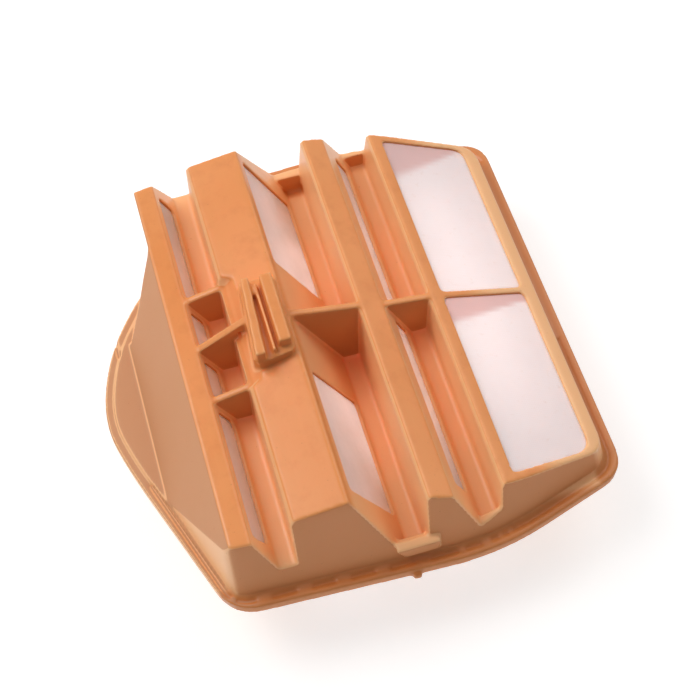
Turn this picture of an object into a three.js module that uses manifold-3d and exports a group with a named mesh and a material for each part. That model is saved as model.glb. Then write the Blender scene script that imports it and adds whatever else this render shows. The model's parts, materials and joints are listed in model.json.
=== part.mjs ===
// Snap-together air filter housing of a small two-stroke engine.
// The ridged upper shell lifts off a shallow lower shell; both carry nylon mesh windows.
// Millimetres, +Z up, Z = 0 at the lower edge of the upper rim.
// X runs across the ridges, Y along them.
import * as THREE from 'three';
import { mergeVertices } from 'three/addons/utils/BufferGeometryUtils.js';
import Module from 'manifold-3d';

const wasm = await Module();
wasm.setup();

// ---- driving dimensions -------------------------------------------------
const WALL = 1.5;              // moulded wall of both shells
const GAP = 0.3;               // clearance between neighbouring pieces
const FAR = 80;                // longer than the housing, for through cuts

const RIM_TOP = 3;             // thickness of the upper rim
const SKIRT = 1.5;             // its outer skirt, which hides the edge of the lower shell
const SEAT_Z = 1.7;            // underside of the ledge inside the skirt
const ROOF_Z = 25;             // height of the plan ROOF_CORNERS
const GROOVE_WIDTH = 0.8;      // groove round the foot of the body
const GROOVE_DEPTH = 0.6;
const SHELF_STEP = 0.6;        // raised crescent shelf at the rounded side
const SHELF_INSET = 2.0;

const SEAT_WIDTH = 3.7;        // ledge of the upper shell that rests on the lower one
const PLATE_BOTTOM = 0.1;      // edge plate of the lower shell, inside the skirt

const RIB = 1.5;               // webs between the ridges
const LADDER_Y = [-11.6, 0.2, 12.2];
const MESH_THICKNESS = 0.5;
const MESH_RECESS = 0.5;
const WINDOW_RADIUS = 1.2;

const FLOOR_Z = -14;           // underside of the lower shell
const BOWL_SCALE = 0.8;        // plan scale of its floor
const CENTRE_X = -4;           // the bowl narrows towards this line
const INTAKE_X = -5;
const INTAKE_R = 18.3;
const BOSS_R = 21.5;
const SEAL_BOTTOM = -16;

const ORANGE = 0xdd8a4c;
const MESH_WHITE = 0xf6e9e6;
const RUBBER = 0x26272a;

// cross-section of the ridges and valleys, [x, z], from the rounded side to the square side
const RIDGE_TOPS = {
  r1: [[-36.5, 18.5], [-32.4, 18.4]],
  r2: [[-24.2, 22.1], [-13.6, 23.8]],
  r3: [[1.4, 19.9], [6.05, 18.1]],
  r4: [[16.4, 16.3], [45, 6.1]],
};
const VALLEYS = {
  v1: [[-28.4, 9], [-24.7, 9]],
  v2: [[-2.86, 1.4], [0.9, 1.4]],
  v3: [[12.3, 4.6], [15.9, 4.6]],
};
const CHAMFER_STEPS = 4;
const BLOCK_TOP = 25.4;        // block that the clip slides on, and the tops of its rails
const RAIL_TOP = 28;
const STEP_OUT = 0.5;          // the steep side of a ridge steps out just below its top
const STEP_DOWN = 0.7;
const FLANK_FOOT = [-46.9, 1.5];

// ---- solids -------------------------------------------------------------
function toManifold(geometry) {
  const bare = geometry.clone();
  bare.deleteAttribute('normal');
  bare.deleteAttribute('uv');
  const merged = mergeVertices(bare, 1e-4);
  const mesh = new wasm.Mesh({
    numProp: 3,
    vertProperties: new Float32Array(merged.attributes.position.array),
    triVerts: new Uint32Array(merged.index.array),
  });
  return new wasm.Manifold(mesh);
}

function toGeometry(solid) {
  const mesh = solid.getMesh();
  const indexed = new THREE.BufferGeometry();
  indexed.setAttribute('position', new THREE.BufferAttribute(new Float32Array(mesh.vertProperties), 3));
  indexed.setIndex(new THREE.BufferAttribute(new Uint32Array(mesh.triVerts), 1));
  const geometry = indexed.toNonIndexed();
  geometry.computeVertexNormals();
  return geometry;
}

function extrude(points, depth) {
  const shape = new THREE.Shape(points.map(([a, b]) => new THREE.Vector2(a, b)));
  return new THREE.ExtrudeGeometry(shape, { depth, bevelEnabled: false });
}

// prism of an [x, z] section along Y
function prismY(section, y0, y1) {
  const geometry = extrude(section, y1 - y0);
  geometry.rotateX(Math.PI / 2);
  geometry.translate(0, y1, 0);
  return toManifold(geometry);
}

// prism of an [x, y] outline along Z
function prismZ(outline, z0, z1) {
  const geometry = extrude(outline, z1 - z0);
  geometry.translate(0, 0, z0);
  return toManifold(geometry);
}

// solid between one outline at z0 and another with as many points at z1
function loft(lower, z0, upper, z1) {
  const count = lower.length;
  const flat = lower.map(([x, y]) => new THREE.Vector2(x, y));
  const cap = THREE.ShapeUtils.triangulateShape(flat, []);
  const position = [];
  for (const [x, y] of lower) position.push(x, y, z0);
  for (const [x, y] of upper) position.push(x, y, z1);
  const index = [];
  for (const [a, b, c] of cap) {
    index.push(a, c, b);
    index.push(a + count, b + count, c + count);
  }
  for (let i = 0; i < count; i += 1) {
    const j = (i + 1) % count;
    index.push(i, j, j + count);
    index.push(i, j + count, i + count);
  }
  const geometry = new THREE.BufferGeometry();
  geometry.setAttribute('position', new THREE.Float32BufferAttribute(position, 3));
  geometry.setIndex(index);
  return toManifold(geometry);
}

function ring(outer, inner, z0, z1) {
  return prismZ(outer, z0, z1).subtract(prismZ(inner, z0 - 1, z1 + 1));
}

function cylinder(radius, z0, z1, x) {
  const geometry = new THREE.CylinderGeometry(radius, radius, z1 - z0, 64);
  geometry.rotateX(Math.PI / 2);
  geometry.translate(x, 0, (z0 + z1) / 2);
  return toManifold(geometry);
}

// ---- outlines -----------------------------------------------------------
// corners are [x, y, radius]; each is rounded with a quadratic curve
function roundedShape(corners) {
  const shape = new THREE.Shape();
  const count = corners.length;
  corners.forEach(([x, y, radius], i) => {
    const before = corners[(i + count - 1) % count];
    const after = corners[(i + 1) % count];
    const here = new THREE.Vector2(x, y);
    const back = new THREE.Vector2(before[0], before[1]).sub(here);
    const on = new THREE.Vector2(after[0], after[1]).sub(here);
    const enter = here.clone().add(back.setLength(Math.min(radius, back.length() / 2)));
    const leave = here.clone().add(on.setLength(Math.min(radius, on.length() / 2)));
    if (i === 0) shape.moveTo(enter.x, enter.y);
    else shape.lineTo(enter.x, enter.y);
    shape.quadraticCurveTo(x, y, leave.x, leave.y);
  });
  shape.closePath();
  return shape;
}

function outlinePoints(shape, divisions) {
  const points = shape.getPoints(divisions).map((p) => [p.x, p.y]);
  const clean = [];
  for (const point of points) {
    const last = clean[clean.length - 1];
    if (!last || Math.hypot(point[0] - last[0], point[1] - last[1]) > 0.05) clean.push(point);
  }
  const first = clean[0];
  const end = clean[clean.length - 1];
  if (Math.hypot(first[0] - end[0], first[1] - end[1]) < 0.05) clean.pop();
  return clean;
}

// a counter-clockwise outline moved inwards by the same amount everywhere
function inset(points, amount) {
  const count = points.length;
  return points.map(([x, y], i) => {
    const [ax, ay] = points[(i + count - 1) % count];
    const [bx, by] = points[(i + 1) % count];
    const inLength = Math.hypot(x - ax, y - ay);
    const outLength = Math.hypot(bx - x, by - y);
    const n1 = [-(y - ay) / inLength, (x - ax) / inLength];
    const n2 = [-(by - y) / outLength, (bx - x) / outLength];
    const k = amount / (1 + n1[0] * n2[0] + n1[1] * n2[1]);
    return [x + (n1[0] + n2[0]) * k, y + (n1[1] + n2[1]) * k];
  });
}

// the outline inside a set of rounded corners, moved inwards by the same amount everywhere
function outlineInside(corners, amount) {
  const flat = inset(corners.map(([x, y]) => [x, y]), amount);
  const moved = flat.map(([x, y], i) => [x, y, Math.max(corners[i][2] - amount, 1)]);
  return outlinePoints(roundedShape(moved), 6);
}

function scaled(points, factor, centreX) {
  return points.map(([x, y]) => [centreX + (x - centreX) * factor, y * factor]);
}

// outer edge of the rim: square on one side, a bulge on the other that stops short of the far end
const RIM_CORNERS = [
  [-38.9, -49.05, 6],
  [14.5, -51.8, 11],
  [43.8, -42.9, 5],
  [44.1, 43.6, 5],
  [14.5, 51.4, 11],
  [-31.5, 49.2, 5],
  [-33.9, 32.8, 4],
  [-42.1, 24.9, 4],
  [-50.2, 13.8, 9],
  [-54.6, -1.5, 9],
  [-51.8, -13.3, 9],
];
const rimAt = (amount) => outlineInside(RIM_CORNERS, amount);

// plan of the upper body, without the cut-away behind the bulge, at its foot and at ROOF_Z
const BODY_CORNERS = [
  [-38.0, -47.2, 3.5],
  [14.0, -49.6, 10],
  [41.6, -41.2, 4],
  [41.8, 41.6, 4],
  [14.0, 49.2, 10],
  [-34.5, 47.2, 2],
  [-47.2, 45.0, 2],
  [-48.6, -16.0, 4],
];
const ROOF_CORNERS = [
  [-36.9, -41.0, 1.6],
  [12.2, -43.3, 8.7],
  [36.3, -36.0, 3.5],
  [36.5, 36.3, 3.5],
  [12.2, 43.0, 8.7],
  [-30.1, 41.3, 1.8],
  [-41.2, 39.3, 1.8],
  [-42.4, -14.0, 3.5],
];
const bodyAt = (amount) => outlineInside(BODY_CORNERS, amount);
const roofAt = (amount) => outlineInside(ROOF_CORNERS, amount);

function ridgeSection() {
  const { r1, r2, r3, r4 } = RIDGE_TOPS;
  const { v1, v2, v3 } = VALLEYS;
  const step = ([x, z]) => [[x - STEP_OUT, z - STEP_DOWN - 0.2], [x, z - STEP_DOWN]];
  const top = [
    FLANK_FOOT, ...r1, ...v1, ...step(r2[0]), ...r2, ...v2, ...step(r3[0]), ...r3,
    ...v3, ...step(r4[0]), ...r4];
  return [[FLANK_FOOT[0], -6], [r4[1][0], -6], ...top.slice().reverse()];
}

// ---- windows ------------------------------------------------------------
// A sloping wall: `top` and `foot` are [x, z] of its outer face, seen along Y.
function flankFrame(top, foot) {
  const down = new THREE.Vector3(foot[0] - top[0], 0, foot[1] - top[1]).normalize();
  const along = new THREE.Vector3(0, 1, 0);
  const inward = along.clone().cross(down);
  const frame = new THREE.Matrix4().makeBasis(along, down, inward);
  return frame.setPosition(top[0], 0, top[1]);
}

// the near (side = -1) or far (side = 1) sloping wall of the lower shell
function bowlFrame(side) {
  const topY = 48.0;
  const footY = topY * BOWL_SCALE;
  const down = new THREE.Vector3(0, side * (footY - topY), FLOOR_Z + 1).normalize();
  const along = new THREE.Vector3(-side, 0, 0);
  const inward = along.clone().cross(down);
  const frame = new THREE.Matrix4().makeBasis(along, down, inward);
  return frame.setPosition(0, side * topY, -1);
}

function floorFrame() {
  const frame = new THREE.Matrix4();
  return frame.setPosition(0, 0, FLOOR_Z);
}

// plate between two depths below the outer face of a framed wall
function framedPlate(frame, corners, from, to) {
  const outline = outlinePoints(roundedShape(corners), 3);
  const geometry = extrude(outline, to - from);
  geometry.translate(0, 0, from);
  geometry.applyMatrix4(frame);
  return toManifold(geometry);
}

function box(a0, a1, b0, b1, radius = WINDOW_RADIUS) {
  return [[a0, b0, radius], [a1, b0, radius], [a1, b1, radius], [a0, b1, radius]];
}

// corners moved inwards by the clearance of the mesh panel
function shrink(corners) {
  const flat = inset(corners.map(([a, b]) => [a, b]), GAP);
  return flat.map(([a, b], i) => [a, b, corners[i][2]]);
}

const flank1 = flankFrame(RIDGE_TOPS.r1[1], VALLEYS.v1[0]);
const flank2 = flankFrame(RIDGE_TOPS.r2[1], VALLEYS.v2[0]);
const flank3 = flankFrame(RIDGE_TOPS.r3[1], VALLEYS.v3[0]);
const panel4 = flankFrame(RIDGE_TOPS.r4[0], RIDGE_TOPS.r4[1]);

const UPPER_WINDOWS = [
  ['mesh_ridge1_near', flank1, box(-40.5, -13.4, 2.2, 8.6)],
  ['mesh_ridge1_mid_near', flank1, box(-9.8, -1.6, 2.2, 8.6)],
  ['mesh_ridge1_mid_far', flank1, box(2.0, 10.4, 2.2, 8.6)],
  ['mesh_ridge1_far', flank1, box(14.0, 40.5, 2.2, 8.6)],
  ['mesh_ridge2_near', flank2, box(-38.6, -12.4, 3.4, 24.0)],
  ['mesh_ridge2_far', flank2, box(14.0, 40.4, 2.4, 24.0)],
  ['mesh_ridge3_near', flank3, box(-40.0, -1.8, 5.2, 12.2)],
  ['mesh_ridge3_far', flank3, box(1.8, 42.0, 5.2, 12.2)],
  ['mesh_ridge4_near', panel4, [
    [-42.0, 2.75, 1.2], [-0.75, 2.75, 1.2], [-0.75, 22.2, 1.2], [-37.4, 22.2, 2], [-39.3, 20.2, 2]]],
  // its far edge leans with the drafted end wall, to leave an even frame
  ['mesh_ridge4_far', panel4, [
    [0.75, 2.75, 1.2], [42.1, 2.75, 1.2], [39.1, 22.2, 2.4], [0.75, 22.2, 1.2]]],
];

const LOWER_WINDOWS = [
  ['mesh_floor_near_left', floorFrame(), box(-27, -6.5, -34.5, -24.5, 2)],
  ['mesh_floor_near_right', floorFrame(), box(-3.5, 19, -34.5, -24.5, 2)],
  ['mesh_floor_far_left', floorFrame(), box(-25, -6.5, 24.5, 34.5, 2)],
  ['mesh_floor_far_right', floorFrame(), box(-3.5, 19, 24.5, 34.5, 2)],
  ['mesh_floor_square_side', floorFrame(), box(19.5, 27.5, -19, 19, 2)],
  ['mesh_floor_round_side', floorFrame(), box(-36, -29.5, -13, 11, 2)],
  ['mesh_wall_near_left', bowlFrame(-1), box(-24, -3.5, 4.6, 13.2, 2)],
  ['mesh_wall_near_right', bowlFrame(-1), box(-0.5, 20, 4.6, 13.2, 2)],
  ['mesh_wall_far_left', bowlFrame(1), box(3.5, 20, 4.6, 13.2, 2)],
  ['mesh_wall_far_right', bowlFrame(1), box(-20, 0.5, 4.6, 13.2, 2)],
];

// ---- upper shell --------------------------------------------------------
// plan of what is cut away behind the bulge, at Z = 0 and level with the top of the first ridge
const CUT_AWAY_LOW = [
  [-60, 11.2], [-46.8, 11.2], [-44.6, 17.3], [-42.3, 23.0], [-40.5, 26.6], [-36.55, 29.5],
  [-36.55, 60], [-60, 60]];
const CUT_AWAY_HIGH = [
  [-60, 24.6], [-37.4, 24.6], [-37.2, 25.0], [-37.0, 25.4], [-36.8, 25.8], [-36.55, 27.0],
  [-36.55, 60], [-60, 60]];

function behindBulge(clear) {
  const low = inset(CUT_AWAY_LOW, -clear);
  const high = inset(CUT_AWAY_HIGH, -clear);
  const top = RIDGE_TOPS.r1[0][1];
  const wedge = [
    [-37 - clear, -7], [-32.9 + clear, -7], [-32.9 + clear, 3], [-37 + clear, 18.2]];
  return prismZ(low, -7, 0.5)
    .add(loft(low, 0, high, top))
    .add(prismZ(high, top - 0.5, 40))
    .add(prismY(wedge, 30 - clear, FAR));
}

function bodySolid() {
  const tapered = loft(bodyAt(0), 0, roofAt(0), ROOF_Z);
  return tapered.intersect(prismY(ridgeSection(), -FAR, FAR));
}

function cavitySolid() {
  const tapered = loft(bodyAt(WALL), -1, roofAt(WALL), ROOF_Z);
  const inner = prismY(inset(ridgeSection(), WALL), -FAR, FAR);
  return tapered.intersect(inner).subtract(behindBulge(WALL));
}

function shelfHollow() {
  const inner = prismZ(rimAt(SKIRT + SEAT_WIDTH), -1, SEAT_Z);
  const side = prismZ([[-60, -FAR], [-42, -FAR], [-42, FAR], [-60, FAR]], -2, 5);
  return inner.intersect(side);
}

function valleyDams() {
  const v2 = [[-6.2, 0.8], [1.8, 0.8], [1.8, 6.4], [-6.2, 6.4]];
  const v3near = [[11, 3.8], [16.8, 3.8], [16.8, 9.6], [11, 6.2]];
  const v3far = [[10, 3.8], [16.8, 3.8], [16.8, 8.6], [10, 8.4]];
  const envelope = loft(bodyAt(0), 0, roofAt(0), ROOF_Z);
  const dams = prismY(v2, -FAR, -45.2)
    .add(prismY(v2, 45.0, FAR))
    .add(prismY(v3near, -FAR, -45.2))
    .add(prismY(v3far, 45.0, FAR));
  return dams.intersect(envelope).add(valleyLip());
}

// upright lip across the near end of the deepest valley, with a gap between it and the rim
function valleyLip() {
  const lip = [[-4.3, 4.5], [2.8, 4.5], [2.8, 8.4], [-6.1, 8.4]];
  return prismY(lip, -48.6, -46.4);
}

function ladderRibs() {
  const outer = [[-28.6, 8.4], [-23.6, 8.4], [-23.6, 20.2], [-32.6, 17.8]];
  const middle = [[-28.6, 8.4], [-20.6, 8.4], [-20.6, 25.2], [-21.6, 25.2], [-32.6, 18.2]];
  const [near, centre, far] = LADDER_Y;
  return prismY(outer, near - RIB / 2, near + RIB / 2)
    .add(prismY(middle, centre - RIB / 2, centre + RIB / 2))
    .add(prismY(outer, far - RIB / 2, far + RIB / 2))
    .subtract(prismY([[-24, 8], [-20.6, 8], [-20.6, 21.6], [-24, 21.6]], -2, 2));
}

function crossbars() {
  const bar2 = [[-3.3, 1], [1.8, 1], [1.8, 19.7], [-13.5, 23.4], [-13.9, 23.1]];
  const bar3 = [[12, 4], [16.8, 4], [16.8, 16.1], [6, 17.9]];
  return prismY(bar2, -RIB / 2, RIB / 2).add(prismY(bar3, -RIB / 2, RIB / 2));
}

// bevel beside the clip block; its ends rise in small steps
function ridgeChamfer() {
  let cut = null;
  for (let step = 0; step < CHAMFER_STEPS; step += 1) {
    const rise = 0.8 * step;
    const bevel = [
      [-25, 19.8 + rise], [-24.3, 19.8 + rise], [-21.0, 23.3 + rise], [-21.0, 26.5], [-25, 26.5]];
    const piece = prismY(bevel, -12.2 - 0.5 * step, 12.2 + 0.5 * step);
    cut = cut ? cut.add(piece) : piece;
  }
  return cut;
}

// block on the tallest ridge with the rails that the retaining clip slides on
function clipRails() {
  const base = [
    [-21.3, 8.4], [-22.8, -9.2], [-21.6, -10.4], [-18.6, -10.2], [-15.2, -9.6], [-14.2, -8.6], [-14.2, 8.4]];
  const skewed = [[-20.9, 7.7], [-22.3, -10.2], [-20.3, -10.2], [-19.3, 7.7]];
  const block = prismZ(base, 21.5, BLOCK_TOP);
  const railLeft = prismZ(skewed, BLOCK_TOP - 0.5, RAIL_TOP);
  const fin = prismZ([[-18.7, 6.4], [-18.7, -9.4], [-18.1, -9.4], [-18.1, 6.4]], BLOCK_TOP - 0.5, 27);
  const railRight = prismZ([[-17.3, 7.4], [-17.3, -8.4], [-14.7, -8.4], [-14.7, 7.4]], BLOCK_TOP - 0.5, RAIL_TOP);
  return block.add(railLeft).add(fin).add(railRight);
}

function rimPlate() {
  const underCutAway = prismZ(rimAt(0), 0, RIM_TOP).intersect(behindBulge(WALL + GAP));
  const plate = ring(rimAt(0), bodyAt(WALL), 0, RIM_TOP).add(underCutAway);
  const side = prismZ([[-60, -FAR], [-37, -FAR], [-37, 29], [-60, 29]], -2, 8);
  const shelf = prismZ(rimAt(SHELF_INSET), RIM_TOP - 0.5, RIM_TOP + SHELF_STEP);
  const groove = ring(bodyAt(-GROOVE_WIDTH), bodyAt(0), RIM_TOP - GROOVE_DEPTH, 8);
  return plate.subtract(groove).add(shelf.intersect(side)).add(pryNib());
}

function pryNib() {
  return prismZ([[-3.4, -51.9], [-1.9, -52.0], [-1.7, -50.4], [-3.6, -50.4]], 0.4, RIM_TOP - 1);
}

// recess inside the skirt, where the edge of the lower shell sits
function seatRecess() {
  return ring(rimAt(SKIRT), rimAt(SKIRT + SEAT_WIDTH), -1, SEAT_Z);
}

// drops the slivers of no volume that meeting faces can leave
function largest(solid) {
  return solid.decompose().sort((a, b) => b.volume() - a.volume())[0];
}

function upperShell() {
  let shell = bodySolid().subtract(behindBulge(0)).add(rimPlate());
  shell = shell.subtract(cavitySolid()).subtract(shelfHollow());
  shell = shell.add(valleyDams()).subtract(ridgeChamfer());
  shell = shell.add(ladderRibs()).add(crossbars()).add(clipRails());
  shell = shell.subtract(seatRecess());
  for (const [, frame, corners] of UPPER_WINDOWS) {
    shell = shell.subtract(framedPlate(frame, corners, -2.2, 2.3));
  }
  return largest(shell);
}

// ---- lower shell --------------------------------------------------------
function bowl(outline, top, bottom) {
  return loft(scaled(outline, BOWL_SCALE, CENTRE_X), bottom, outline, top);
}

function lowerShell() {
  const edge = SKIRT + GAP;
  const outside = edge + 1;
  let shell = prismZ(rimAt(edge), PLATE_BOTTOM, SEAT_Z - GAP);
  shell = shell.add(bowl(rimAt(outside), PLATE_BOTTOM + 0.5, FLOOR_Z));
  shell = shell.subtract(bowl(rimAt(outside + 0.5), PLATE_BOTTOM + 0.5 + WALL, FLOOR_Z + WALL));
  shell = shell.subtract(prismZ(rimAt(edge + 1.2), 1, 6));
  shell = shell.add(cylinder(BOSS_R, FLOOR_Z, FLOOR_Z + 5, INTAKE_X));
  shell = shell.subtract(cylinder(INTAKE_R, FLOOR_Z - 1, FLOOR_Z + 6, INTAKE_X));
  for (const [, frame, corners] of LOWER_WINDOWS) {
    shell = shell.subtract(framedPlate(frame, corners, -3, 4));
  }
  return shell;
}

// soft ring pushed into the intake; its outer lip seals on the carburettor
function intakeSeal() {
  const outside = INTAKE_R - GAP;
  const profile = [
    [15.6, SEAL_BOTTOM], [20.4, SEAL_BOTTOM], [20.8, SEAL_BOTTOM + 0.4], [20.8, FLOOR_Z - GAP],
    [outside, FLOOR_Z - GAP], [outside, FLOOR_Z + 5.4], [17.0, FLOOR_Z + 6.2],
    [15.6, FLOOR_Z + 6.2], [15.6, SEAL_BOTTOM]];
  const geometry = new THREE.LatheGeometry(profile.map(([r, z]) => new THREE.Vector2(r, z)), 64);
  geometry.rotateX(Math.PI / 2);
  geometry.translate(INTAKE_X, 0, 0);
  return toManifold(geometry);
}

// ---- assembly -----------------------------------------------------------
const orange = () => new THREE.MeshStandardMaterial({ color: ORANGE, roughness: 0.42, metalness: 0 });
const nylonMesh = () => new THREE.MeshStandardMaterial({ color: MESH_WHITE, roughness: 0.85, metalness: 0 });
const rubber = () => new THREE.MeshStandardMaterial({ color: RUBBER, roughness: 0.7, metalness: 0 });

const housing = new THREE.Group();

function addPiece(name, solid, material) {
  const mesh = new THREE.Mesh(toGeometry(solid), material);
  mesh.name = name;
  housing.add(mesh);
}

addPiece('upper_shell', upperShell(), orange());
addPiece('lower_shell', lowerShell(), orange());
addPiece('intake_seal', intakeSeal(), rubber());
for (const [name, frame, corners] of [...UPPER_WINDOWS, ...LOWER_WINDOWS]) {
  const from = MESH_RECESS;
  const panel = framedPlate(frame, shrink(corners), from, from + MESH_THICKNESS);
  addPiece(name, panel, nylonMesh());
}

// the origin sits under the middle of the housing, on the surface it rests on
const bounds = new THREE.Box3().setFromObject(housing);
const middle = bounds.getCenter(new THREE.Vector3());
housing.position.set(-middle.x, -middle.y, -bounds.min.z);

export default housing;
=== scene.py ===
import json
import math
import bmesh
import bpy
from mathutils import Matrix, Vector, noise


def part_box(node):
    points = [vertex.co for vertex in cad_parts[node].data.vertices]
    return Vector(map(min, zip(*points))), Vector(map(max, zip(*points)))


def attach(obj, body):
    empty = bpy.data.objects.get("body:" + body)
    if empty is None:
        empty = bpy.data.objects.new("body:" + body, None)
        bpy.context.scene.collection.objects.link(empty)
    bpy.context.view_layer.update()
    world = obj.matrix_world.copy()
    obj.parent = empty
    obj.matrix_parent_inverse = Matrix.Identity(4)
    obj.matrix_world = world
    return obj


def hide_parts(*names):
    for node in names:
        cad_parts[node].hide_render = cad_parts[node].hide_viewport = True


# Air filter housing of a small engine: two orange moulded halves that part at the rim, woven mesh
# windows, and a rubber seal round the intake.
# Metres, +Z up; X runs across the ridges and Y along them.
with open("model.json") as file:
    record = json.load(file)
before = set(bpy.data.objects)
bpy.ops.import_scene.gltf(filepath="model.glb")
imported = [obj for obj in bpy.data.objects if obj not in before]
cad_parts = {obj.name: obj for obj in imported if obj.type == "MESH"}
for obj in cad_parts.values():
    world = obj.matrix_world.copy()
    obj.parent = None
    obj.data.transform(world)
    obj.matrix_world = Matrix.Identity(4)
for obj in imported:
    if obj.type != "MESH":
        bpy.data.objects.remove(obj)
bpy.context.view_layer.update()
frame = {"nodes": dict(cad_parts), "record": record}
MM = 0.001

UPPER_VOXEL = 0.00036      # remesh size that turns the sharp CAD edges into moulded ones
LOWER_VOXEL = 0.00050
# how far the cloth runs into the moulded frame, past the CAD panel, and how far it lies below
# the panel's outer face; the lower half is rounded more, so its cloth sits deeper
FRAME_BITE = {"upper_half": 0.55 * MM, "lower_half": 0.95 * MM}
CLOTH_INSET = {"upper_half": 0.10 * MM, "lower_half": 0.40 * MM}
CLOTH_CELL = 0.9 * MM
CLOTH_THICK = 0.14 * MM
THREAD_PITCH = 0.42 * MM

CAMERA_AZIMUTH = -105.33   # degrees round from +X
CAMERA_ELEVATION = 60.0
CAMERA_ROLL = -1.5
CAMERA_DISTANCE = 278.4 * MM
CAMERA_AIM = Vector((4.2, 1.9, 16.0)) * MM


def link(obj):
    bpy.context.scene.collection.objects.link(obj)
    return obj


def linear(r, g, b):
    """sRGB 0-255 to the scene's linear colour."""
    def one(v):
        v /= 255
        return v / 12.92 if v <= 0.04045 else ((v + 0.055) / 1.055) ** 2.4
    return (one(r), one(g), one(b), 1)


# ---- camera -----------------------------------------------------------------
camera_data = bpy.data.cameras.new("camera")
camera_data.lens = 66.8
camera_data.sensor_width = 36
camera = link(bpy.data.objects.new("camera", camera_data))
turn = Matrix.Rotation(math.radians(CAMERA_AZIMUTH + 90), 4, "Z")
tilt = Matrix.Rotation(math.radians(90 - CAMERA_ELEVATION), 4, "X")
roll = Matrix.Rotation(math.radians(CAMERA_ROLL), 4, "Z")
stand_off = Matrix.Translation((0, 0, CAMERA_DISTANCE))
camera.matrix_world = Matrix.Translation(CAMERA_AIM) @ turn @ tilt @ stand_off @ roll
bpy.context.scene.camera = camera
bpy.context.scene.view_settings.view_transform = "Standard"


# ---- node helpers -------------------------------------------------------------
class Nodes:
    """A short way to write shader trees."""

    def __init__(self, name):
        self.material = bpy.data.materials.new(name)
        self.material.use_nodes = True
        self.tree = self.material.node_tree
        self.shader = self.tree.nodes["Principled BSDF"]
        self.output = self.tree.nodes["Material Output"]

    def add(self, kind, settings=(), **inputs):
        node = self.tree.nodes.new("ShaderNode" + kind)
        for key, value in dict(settings).items():
            setattr(node, key, value)
        for key, value in inputs.items():
            name = int(key[1:]) if key[1:].isdigit() else key.replace("_", " ")
            self.set(node.inputs[name], value)
        return node

    def set(self, socket, value):
        if isinstance(value, bpy.types.NodeSocket):
            self.tree.links.new(value, socket)
        else:
            socket.default_value = value

    def noise(self, scale, detail=3, rough=0.5, vector=None):
        node = self.add("TexNoise", Scale=scale, Detail=detail, Roughness=rough)
        self.set(node.inputs["Vector"], vector or self.where)
        return node.outputs["Fac"]

    def ramp(self, value, stops):
        node = self.add("ValToRGB", _0=value)
        points = node.color_ramp.elements
        while len(points) < len(stops):
            points.new(0.5)
        for point, (position, level) in zip(points, stops):
            point.position = position
            point.color = (level, level, level, 1)
        return node.outputs["Color"]

    def math(self, operation, a, b=0.0, c=0.0, clamp=False):
        node = self.add("Math", {"operation": operation, "use_clamp": clamp}, _0=a, _1=b, _2=c)
        return node.outputs[0]

    def step(self, value, low, high):
        """0 at low, 1 at high and smooth between them; low may be the larger."""
        node = self.add("MapRange", {"interpolation_type": "SMOOTHSTEP"}, Value=value)
        node.inputs["From Min"].default_value = low
        node.inputs["From Max"].default_value = high
        return node.outputs["Result"]

    def mix(self, amount, a, b):
        node = self.add("Mix", {"data_type": "RGBA"}, _0=amount, _6=a, _7=b)
        return node.outputs[2]

    @property
    def where(self):
        return self.add("TexCoord").outputs["Object"]


# ---- materials ----------------------------------------------------------------
def side_limits():
    """Where the rounded side's matt finish and painted shade start across the ridges, and how high its
    shelf reaches.
    """
    low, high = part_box("upper_shell")
    edge = low[0] + 0.19 * (high[0] - low[0])
    seam = low[2]
    return (edge + 2.5 * MM, edge), (seam + 8 * MM, seam + 6 * MM)


def height_limits():
    """Heights between which the painted light and painted shade change: above the rim, and below the ridge
    tops.
    """
    low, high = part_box("upper_shell")
    rim = low[2] + 4.2 * MM, low[2] + 2.6 * MM
    valley = high[2] - 4.5 * MM, high[2] - 7.5 * MM
    top = low[2] + 11 * MM, low[2] + 14 * MM
    return rim, valley, top


def edge_limits():
    """Where the rim begins, out from the middle: past the end walls, and past the straight side."""
    low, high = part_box("upper_shell")
    return (high[1] - 8.5 * MM, high[1] - 6.5 * MM), (high[0] - 7 * MM, high[0] - 5.5 * MM)


ROUNDED_SIDE, SHELF_HEIGHT = side_limits()
RIM_HEIGHT, VALLEY_HEIGHT, TOP_HEIGHT = height_limits()
END_EDGE, SIDE_EDGE = edge_limits()
FLANK_NORMAL = (-0.853, 0.0, 0.522)


def pigment(n):
    """Body colour: a slow drift, finer mottling, and flow lines that run along the ridges."""
    pale = linear(242, 158, 92)
    body = linear(236, 149, 80)
    deep = linear(218, 128, 62)
    drift = n.ramp(n.noise(28, 2, 0.5), [(0.35, 0.0), (0.65, 1.0)])
    mottle = n.ramp(n.noise(240, 4, 0.6), [(0.48, 0.0), (0.72, 0.32)])
    stretch = n.add("Mapping", Vector=n.where, Scale=(900.0, 40.0, 900.0))
    flow = n.ramp(n.noise(1.0, 2, 0.5, stretch.outputs[0]), [(0.5, 0.0), (0.8, 0.16)])
    colour = n.mix(drift, body, pale)
    colour = n.mix(mottle, colour, deep)
    return n.mix(flow, colour, pale)


def edge_wear_highlight_and_shade(n, colour):
    """Outer edges brighter in patches, as wear and painted highlight, and inner corners darker, as painted
    shade; also returns the mask of the brighter edges.
    """
    bend = n.add("NewGeometry").outputs["Pointiness"]
    patchy = n.ramp(n.noise(420, 3, 0.6), [(0.3, 0.25), (0.65, 0.85)])
    # wear and painted highlight: outer edges paler in patches
    wear_and_highlight = n.math("MULTIPLY", n.ramp(bend, [(0.515, 0.0), (0.58, 1.0)]), patchy)
    colour = n.mix(wear_and_highlight, colour, linear(252, 186, 126))
    # painted shade: inner corners darker
    corner = n.ramp(bend, [(0.40, 0.60), (0.485, 0.0)])
    return n.mix(corner, colour, linear(184, 96, 42)), wear_and_highlight


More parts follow.
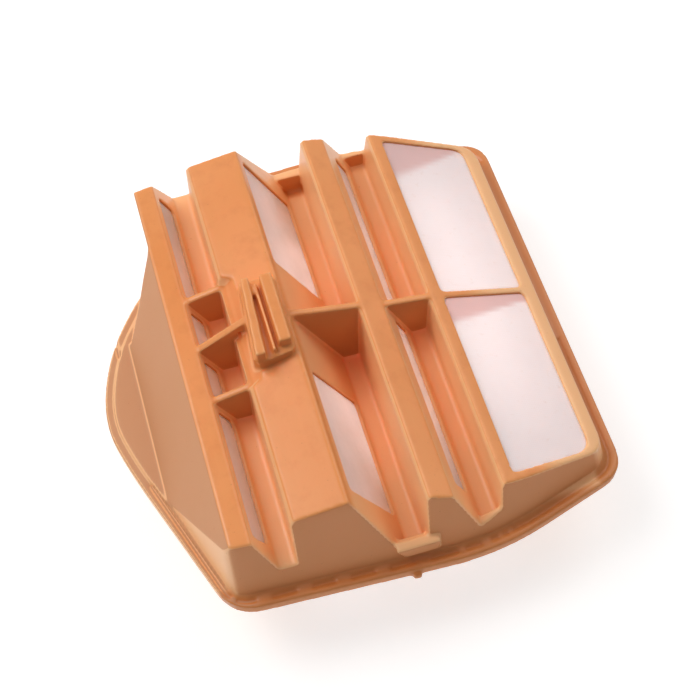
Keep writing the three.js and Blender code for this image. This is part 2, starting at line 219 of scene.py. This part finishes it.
def zones(n):
    """Masks of the parts of the housing that differ in finish and in painted light and shade."""
    normal = n.add("NewGeometry").outputs["Normal"]
    facing = n.add("SeparateXYZ", Vector=normal).outputs
    place = n.add("SeparateXYZ", Vector=n.where).outputs
    end_wall = n.step(n.math("ABSOLUTE", facing[1]), 0.72, 0.9)
    # the flank and the shelf of the rounded side
    rounded_side = n.step(place[0], *ROUNDED_SIDE)
    towards = n.add("VectorMath", {"operation": "DOT_PRODUCT"}, _0=normal, _1=FLANK_NORMAL)
    flank = n.math("MULTIPLY", n.step(towards.outputs["Value"], 0.90, 0.97), rounded_side)
    low_down = n.math("MULTIPLY", n.step(facing[2], 0.90, 0.98), n.step(place[2], *SHELF_HEIGHT))
    side = n.math("MAXIMUM", flank, n.math("MULTIPLY", low_down, rounded_side))
    # the rim, which gets painted shade, and all that lies lower than the ridge tops, which gets painted
    # light
    beyond_ends = n.step(n.math("ABSOLUTE", place[1]), *END_EDGE)
    outer_edge = n.math("MAXIMUM", beyond_ends, n.step(place[0], *SIDE_EDGE))
    rim = n.math("MULTIPLY", outer_edge, n.step(place[2], *RIM_HEIGHT))
    ridge_top = n.math("MULTIPLY", n.step(facing[2], 0.60, 0.72), n.step(place[2], *TOP_HEIGHT))
    left_out = n.math("MAXIMUM", ridge_top, rim)
    # painted light: the walls and floors between the ridges
    between = n.math("SUBTRACT", n.step(place[2], *VALLEY_HEIGHT), left_out, clamp=True)
    return end_wall, side, rim, between


def moulded_nylon(name):
    n = Nodes(name)
    colour, wear_and_highlight = edge_wear_highlight_and_shade(n, pigment(n))
    end_wall, side, rim, between = zones(n)
    matt = n.math("MAXIMUM", end_wall, side)
    # painted light between the ridges, painted shade on the rim, and on the matt outside faces greyer for
    # the finish and darker as painted shade
    # painted light: paler between the ridges
    colour = n.mix(n.math("MULTIPLY", between, 0.8), colour, linear(255, 200, 146))
    # painted shade: the rim darker and deeper orange
    colour = n.mix(n.math("MULTIPLY", rim, 0.7), colour, linear(204, 122, 62))
    # end walls: greyer for the matt finish, and darker as painted shade
    colour = n.mix(n.math("MULTIPLY", end_wall, 0.9), colour, linear(218, 140, 82))
    # rounded side: greyer for the matt finish, and darker as painted shade
    colour = n.mix(n.math("MULTIPLY", side, 0.85), colour, linear(205, 142, 100))
    specks = n.ramp(n.noise(1500, 2, 0.4), [(0.73, 0.0), (0.80, 0.30)])
    n.set(n.shader.inputs["Base Color"], n.mix(specks, colour, linear(170, 98, 50)))

    rough = n.math("MULTIPLY_ADD", n.noise(60, 4, 0.65), 0.22, 0.26)
    rough = n.math("ADD", rough, n.math("MULTIPLY", matt, 0.25))
    rough = n.math("SUBTRACT", rough, n.math("MULTIPLY", wear_and_highlight, 0.08), clamp=True)
    n.set(n.shader.inputs["Roughness"], rough)
    n.shader.inputs["IOR"].default_value = 1.53
    n.shader.inputs["Specular IOR Level"].default_value = 0.45
    n.shader.inputs["Subsurface Weight"].default_value = 0.12
    n.shader.inputs["Subsurface Radius"].default_value = (1.0, 0.75, 0.5)
    n.shader.inputs["Subsurface Scale"].default_value = 0.0016

    grain = n.math("MULTIPLY", n.noise(3600, 3, 0.6), 0.5)
    erode = n.math("MULTIPLY", n.noise(5200, 2, 0.5), matt)
    height = n.math("MULTIPLY_ADD", erode, 1.4, grain)
    height = n.math("MULTIPLY_ADD", n.noise(150, 2, 0.5), 2.2, height)
    bump = n.add("Bump", Strength=0.35, Distance=0.00006, Height=height)
    n.set(n.shader.inputs["Normal"], bump.outputs[0])
    return n.material


def woven_mesh(name, tint, band_colour):
    """White nylon cloth: thread pattern from the UV map (in thread pitches), and a band of painted shade
    along the far edge where the moulded web behind the cloth shows through."""
    n = Nodes(name)
    uv = n.add("UVMap", {"uv_map": "threads"}).outputs[0]
    band = n.add("Attribute", {"attribute_name": "painted_web_shade"}).outputs["Fac"]
    u, v = (n.add("SeparateXYZ", Vector=uv).outputs[i] for i in (0, 1))
    warp = n.math("SINE", n.math("MULTIPLY", u, 2 * math.pi))
    weft = n.math("SINE", n.math("MULTIPLY", v, 2 * math.pi))
    thread = n.math("MAXIMUM", warp, weft)
    over = n.math("MULTIPLY", warp, weft)
    cloudy = n.noise(90, 4, 0.6)
    colour = n.mix(n.ramp(cloudy, [(0.3, 0.0), (0.75, 0.5)]), tint, linear(253, 250, 252))
    hole = n.ramp(thread, [(0.0, 0.35), (0.55, 0.0)])
    colour = n.mix(n.math("MULTIPLY", hole, 0.25), colour, linear(236, 210, 202))
    dust = n.ramp(n.noise(700, 3, 0.55), [(0.62, 0.0), (0.80, 0.22)])
    colour = n.mix(dust, colour, linear(224, 206, 194))
    # painted shade: a darker pink band where the web behind the cloth stands
    colour = n.mix(band, colour, band_colour)
    n.set(n.shader.inputs["Base Color"], colour)
    n.set(n.shader.inputs["Roughness"], n.math("MULTIPLY_ADD", cloudy, 0.15, 0.72))
    n.shader.inputs["Specular IOR Level"].default_value = 0.25
    n.shader.inputs["Sheen Weight"].default_value = 0.15
    n.shader.inputs["Sheen Roughness"].default_value = 0.5
    height = n.math("MULTIPLY_ADD", over, 0.5, thread)
    bump = n.add("Bump", Strength=0.25, Distance=0.00004, Height=height)
    n.set(n.shader.inputs["Normal"], bump.outputs[0])
    glow = n.add("BsdfTranslucent", Color=colour)
    both = n.add("MixShader", _0=0.30, _1=n.shader.outputs[0], _2=glow.outputs[0])
    n.set(n.output.inputs["Surface"], both.outputs[0])
    return n.material


def black_rubber(name):
    n = Nodes(name)
    bloom = n.noise(120, 5, 0.65)
    colour = n.mix(n.ramp(bloom, [(0.4, 0.0), (0.75, 1.0)]), linear(34, 34, 36), linear(58, 56, 55))
    specks = n.ramp(n.noise(1700, 2, 0.4), [(0.68, 0.0), (0.75, 0.6)])
    colour = n.mix(specks, colour, linear(120, 112, 104))
    n.set(n.shader.inputs["Base Color"], colour)
    n.set(n.shader.inputs["Roughness"], n.math("MULTIPLY_ADD", bloom, 0.25, 0.5))
    grain = n.noise(2600, 4, 0.6)
    bump = n.add("Bump", Strength=0.4, Distance=0.00006, Height=grain)
    n.set(n.shader.inputs["Normal"], bump.outputs[0])
    return n.material


def floor_paper(name):
    n = Nodes(name)
    fibre = n.noise(700, 4, 0.6)
    colour = n.mix(n.ramp(fibre, [(0.3, 0.0), (0.7, 1.0)]), (0.55, 0.55, 0.55, 1), (0.59, 0.59, 0.59, 1))
    n.set(n.shader.inputs["Base Color"], colour)
    n.shader.inputs["Emission Color"].default_value = (1.0, 1.0, 1.0, 1.0)
    n.shader.inputs["Emission Strength"].default_value = 0.62
    n.shader.inputs["Roughness"].default_value = 0.9
    n.shader.inputs["Specular IOR Level"].default_value = 0.1
    return n.material


NYLON = moulded_nylon("orange_nylon")
RUBBER = black_rubber("seal_rubber")
# the second cloth is the same white cloth made darker and greyer, for the windows on the steep flanks:
# painted shade
CLOTH_OPEN = woven_mesh("mesh_open", linear(254, 253, 255), linear(240, 216, 214))
CLOTH_SHADED = woven_mesh("mesh_painted_shade", linear(228, 226, 227), linear(232, 208, 206))


# ---- moulded shells -------------------------------------------------------------
def moulded(node, name, voxel, body):
    """The CAD shell with the rounded edges of a moulding in place of sharp ones."""
    obj = link(bpy.data.objects.new(name, frame["nodes"][node].data.copy()))
    weld = obj.modifiers.new("weld", "WELD")
    weld.merge_threshold = 0.000002
    remesh = obj.modifiers.new("remesh", "REMESH")
    remesh.mode = "VOXEL"
    remesh.voxel_size = voxel
    smooth = obj.modifiers.new("smooth", "SMOOTH")
    smooth.factor = 0.5
    smooth.iterations = 4
    graph = bpy.context.evaluated_depsgraph_get()
    mesh = bpy.data.meshes.new_from_object(obj.evaluated_get(graph))
    obj.modifiers.clear()
    obj.data = mesh
    mesh.materials.clear()
    mesh.materials.append(NYLON)
    mesh.polygons.foreach_set("use_smooth", [True] * len(mesh.polygons))
    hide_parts(node)
    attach(obj, body)
    return obj


upper = moulded("upper_shell", "moulded_upper", UPPER_VOXEL, "upper_half")
lower = moulded("lower_shell", "moulded_lower", LOWER_VOXEL, "lower_half")


# ---- woven windows ----------------------------------------------------------------
def panel_frame(node):
    """Centre, two in-plane axes, outward normal and half-plane edges of a CAD mesh panel."""
    mesh = frame["nodes"][node].data
    largest = max(mesh.polygons, key=lambda p: p.area)
    normal = largest.normal.copy()
    body = "upper_half" if node in UPPER_NODES else "lower_half"
    outward = 1 if body == "upper_half" else -1
    if normal.z * outward < 0:
        normal.negate()
    along = Vector((0, 1, 0)) if abs(normal.y) < 0.4 else Vector((1, 0, 0))
    along = (along - normal * along.dot(normal)).normalized()
    across = normal.cross(along)
    points = [v.co for v in mesh.vertices]
    level = [p.dot(normal) for p in points]
    middle = max(level) - CLOTH_INSET[body]
    flat = [(p.dot(along), p.dot(across)) for p in points]
    return along, across, normal, middle, convex_outline(flat)


def convex_outline(points):
    """Counter-clockwise convex hull."""
    points = sorted(set((round(a, 7), round(b, 7)) for a, b in points))

    def half(seq):
        chain = []
        for p in seq:
            while len(chain) > 1:
                (ax, ay), (bx, by) = chain[-2], chain[-1]
                if (bx - ax) * (p[1] - ay) - (by - ay) * (p[0] - ax) > 1e-12:
                    break
                chain.pop()
            chain.append(p)
        return chain[:-1]

    return half(points) + half(reversed(points))


def limits(outline):
    along, across = zip(*outline)
    return min(along), max(along), min(across), max(across)


def grid_sheet(a0, a1, b0, b1):
    columns = max(4, round((a1 - a0) / CLOTH_CELL))
    rows = max(4, round((b1 - b0) / CLOTH_CELL))
    sheet = bmesh.new()
    grid = [[sheet.verts.new((a0 + (a1 - a0) * i / columns, b0 + (b1 - b0) * j / rows, 0))
             for j in range(rows + 1)] for i in range(columns + 1)]
    for i in range(columns):
        for j in range(rows):
            sheet.faces.new((grid[i][j], grid[i + 1][j], grid[i + 1][j + 1], grid[i][j + 1]))
    return sheet


def cut_to(sheet, outline, bite):
    """Cut the grid to the outline plus bite, a half-plane at a time; returns each edge's point and side."""
    edges = []
    for (ax, ay), (bx, by) in zip(outline, outline[1:] + outline[:1]):
        side = Vector((by - ay, ax - bx, 0)).normalized()
        edges.append((Vector((ax, ay, 0)), side))
        everything = sheet.verts[:] + sheet.edges[:] + sheet.faces[:]
        bmesh.ops.bisect_plane(sheet, geom=everything, plane_co=Vector((ax, ay, 0)) + side * bite,
                               plane_no=side, clear_outer=True, dist=1e-7)
    bmesh.ops.remove_doubles(sheet, verts=sheet.verts, dist=2e-5)
    return edges


def lay_threads(sheet):
    """UVs that count threads."""
    threads = sheet.loops.layers.uv.new("threads")
    for face in sheet.faces:
        for loop in face.loops:
            loop[threads].uv = (loop.vert.co.x / THREAD_PITCH, loop.vert.co.y / THREAD_PITCH)


def settle(sheet, node, outline, edges, seed):
    """Slack and creases away from the frame, and the shade of the web behind."""
    band = sheet.verts.layers.float.new("painted_web_shade")
    for vert in sheet.verts:
        x, y = vert.co.x, vert.co.y
        inside = min(-(vert.co - origin).dot(side) for origin, side in edges)
        free = max(0.0, min(1.0, inside / (2.2 * MM)))
        coarse = noise.noise(Vector((x * 140, y * 140, seed)))
        slack = coarse + 0.5 * noise.noise(Vector((x * 420, y * 420, seed)))
        vert[band] = web_shade(node, x, y, outline)
        sag = (-0.10 * free + 0.10 * slack * free) * MM
        vert.co.z = sag + crease(node, x, y, outline) * free


def cloth(node, body, shaded_cloth, seed):
    along, across, normal, level, outline = panel_frame(node)
    bite = FRAME_BITE[body]
    a0, a1, b0, b1 = limits(outline)
    a0, a1 = a0 - bite, a1 + bite
    b0, b1 = b0 - bite, b1 + bite
    sheet = grid_sheet(a0, a1, b0, b1)
    edges = cut_to(sheet, outline, bite)
    lay_threads(sheet)
    settle(sheet, node, outline, edges, seed)
    bmesh.ops.solidify(sheet, geom=sheet.faces[:], thickness=CLOTH_THICK)
    turn = Matrix((along, across, normal)).transposed()
    for vert in sheet.verts:
        vert.co = turn @ vert.co + normal * level
    bmesh.ops.recalc_face_normals(sheet, faces=sheet.faces)
    mesh = bpy.data.meshes.new("cloth_" + node)
    sheet.to_mesh(mesh)
    sheet.free()
    for polygon in mesh.polygons:
        polygon.use_smooth = True
    mesh.materials.append(CLOTH_SHADED if shaded_cloth else CLOTH_OPEN)
    obj = link(bpy.data.objects.new("cloth_" + node, mesh))
    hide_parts(node)
    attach(obj, body)


def web_shade(node, x, y, outline):
    """How strongly the painted shade of the web or end wall behind the cloth shows at a point of a sloping
    top window.
    """
    if "ridge4" not in node:
        return 0.0
    far = max(p[0] for p in outline)
    high, low = max(p[1] for p in outline), min(p[1] for p in outline)
    depth = (y - low) / (high - low)
    reach = (9.4 if node.endswith("far") else 5.6) * MM
    width = reach * (0.25 + 0.75 * depth)
    edge = (far - x) / width
    return 1.0 - max(0.0, min(1.0, (edge - 0.86) / 0.28))


def crease(node, x, y, outline):
    """Faint creases that fan out from the slack corner of the nearest top window."""
    if node != "mesh_ridge4_near":
        return 0.0
    near, low = min(p[0] for p in outline), min(p[1] for p in outline)
    from_corner = math.hypot(x - near, y - low)
    angle = math.atan2(y - low, x - near)
    fade = math.exp(-((from_corner - 11 * MM) / (7 * MM)) ** 2)
    return 0.12 * MM * fade * math.sin(angle * 9)


UPPER_NODES = frame["record"]["behaviour"]["bodies"]["upper_half"]
for seed, node in enumerate(sorted(frame["nodes"])):
    if node.startswith("mesh_"):
        # windows on the steep flanks get the darker cloth: painted shade
        shaded_cloth = node.startswith(("mesh_ridge1", "mesh_ridge2", "mesh_ridge3"))
        cloth(node, "upper_half" if node in UPPER_NODES else "lower_half", shaded_cloth, seed * 3.7)


# ---- intake seal --------------------------------------------------------------------
def intake_seal():
    low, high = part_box("intake_seal")
    centre = Vector(((low[0] + high[0]) / 2, (low[1] + high[1]) / 2, low[2]))
    outer = (high[0] - low[0]) / 2
    tall = high[2] - low[2]
    bore = outer - 5.2 * MM
    neck = outer - 2.8 * MM
    lip = 1.7 * MM
    # half section, [radius, height], with rounded lips and two sealing beads on the face
    profile = [(bore, 0.6 * MM), (bore + 0.25 * MM, 0.15 * MM), (bore + 0.8 * MM, 0.0)]
    for bead in (0.3, 0.62):
        middle = bore + (outer - bore) * bead
        profile += [(middle - 0.45 * MM, 0.0), (middle - 0.2 * MM, 0.3 * MM), (middle + 0.2 * MM, 0.3 * MM),
                    (middle + 0.45 * MM, 0.0)]
    profile += [(outer - 0.6 * MM, 0.0), (outer - 0.15 * MM, 0.15 * MM), (outer, 0.6 * MM),
                (outer - 0.05 * MM, lip - 0.25 * MM), (outer - 0.4 * MM, lip - 0.02 * MM),
                (neck + 0.3 * MM, lip - 0.02 * MM), (neck - 0.02 * MM, lip + 0.3 * MM),
                (neck - 0.02 * MM, tall - 1.2 * MM), (neck - 0.35 * MM, tall - 0.7 * MM),
                (bore + 0.9 * MM, tall - 0.05 * MM), (bore + 0.3 * MM, tall - 0.1 * MM),
                (bore, tall - 0.5 * MM), (bore, tall - 1.5 * MM), (bore, tall / 2)]
    lathe = bmesh.new()
    turns = 96
    rings = []
    for k in range(turns):
        angle = 2 * math.pi * k / turns
        outwards = Vector((math.cos(angle), math.sin(angle), 0))
        rings.append([lathe.verts.new(centre + outwards * r + Vector((0, 0, z))) for r, z in profile])
    for k in range(turns):
        here, after = rings[k], rings[(k + 1) % turns]
        for i in range(len(profile)):
            j = (i + 1) % len(profile)
            lathe.faces.new((here[i], after[i], after[j], here[j]))
    bmesh.ops.recalc_face_normals(lathe, faces=lathe.faces)
    mesh = bpy.data.meshes.new("rubber_seal")
    lathe.to_mesh(mesh)
    lathe.free()
    for polygon in mesh.polygons:
        polygon.use_smooth = True
    mesh.materials.append(RUBBER)
    obj = link(bpy.data.objects.new("rubber_seal", mesh))
    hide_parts("intake_seal")
    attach(obj, "lower_half")


intake_seal()


# ---- stage ----------------------------------------------------------------------------
FLOOR_HALF_SIDE = 1.5
SOFTBOX_SIZE = 0.40
SOFTBOX_DISTANCE = 0.75
SOFTBOX_COLOUR = (1.0, 0.985, 0.97)


def floor():
    sheet = bmesh.new()
    bmesh.ops.create_grid(sheet, x_segments=8, y_segments=8, size=FLOOR_HALF_SIDE)
    mesh = bpy.data.meshes.new("floor")
    sheet.to_mesh(mesh)
    sheet.free()
    mesh.materials.append(floor_paper("floor_paper"))
    obj = link(bpy.data.objects.new("floor", mesh))
    obj.location.z = -0.0002


def softbox(name, direction, watts):
    data = bpy.data.lights.new(name, "AREA")
    data.shape = "SQUARE"
    data.size = SOFTBOX_SIZE
    data.energy = watts
    data.color = SOFTBOX_COLOUR
    lamp = link(bpy.data.objects.new(name, data))
    towards = Vector(direction).normalized()
    lamp.location = Vector((0, 0, 0.02)) + towards * SOFTBOX_DISTANCE
    lamp.rotation_euler = towards.to_track_quat("Z", "Y").to_euler()


floor()
softbox("key_left", (-0.50, 0.32, 0.80), 2.75)
softbox("key_right", (0.52, 0.36, 0.78), 1.1)


def light_table():
    """A lamp inside the housing, which lights the cloth from behind. It stands for the pale table's light
    that comes up through the open intake."""
    low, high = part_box("lower_shell")
    data = bpy.data.lights.new("table_light", "AREA")
    data.shape = "RECTANGLE"
    data.size = 0.56 * (high[0] - low[0])
    data.size_y = 0.60 * (high[1] - low[1])
    data.energy = 0.058
    lamp = link(bpy.data.objects.new("table_light", data))
    lamp.location = ((low[0] + high[0]) / 2, (low[1] + high[1]) / 2, high[2] - 3 * MM)
    lamp.rotation_euler = (math.pi, 0, 0)
    lamp.visible_camera = False


light_table()


def studio():
    """White studio that is brightest overhead and behind the object, and dim behind the camera."""
    world = bpy.data.worlds.new("studio")
    bpy.context.scene.world = world
    world.use_nodes = True
    tree = world.node_tree
    direction = tree.nodes.new("ShaderNodeTexCoord").outputs["Generated"]
    lean = tree.nodes.new("ShaderNodeVectorMath")
    lean.operation = "DOT_PRODUCT"
    tree.links.new(direction, lean.inputs[0])
    lean.inputs[1].default_value = (0.0, 0.5, 0.6)
    level = tree.nodes.new("ShaderNodeMath")
    level.operation = "ADD"
    level.use_clamp = True
    tree.links.new(lean.outputs["Value"], level.inputs[0])
    level.inputs[1].default_value = 0.40
    tree.links.new(level.outputs[0], tree.nodes["Background"].inputs["Color"])
    tree.nodes["Background"].inputs["Strength"].default_value = 0.48


studio()
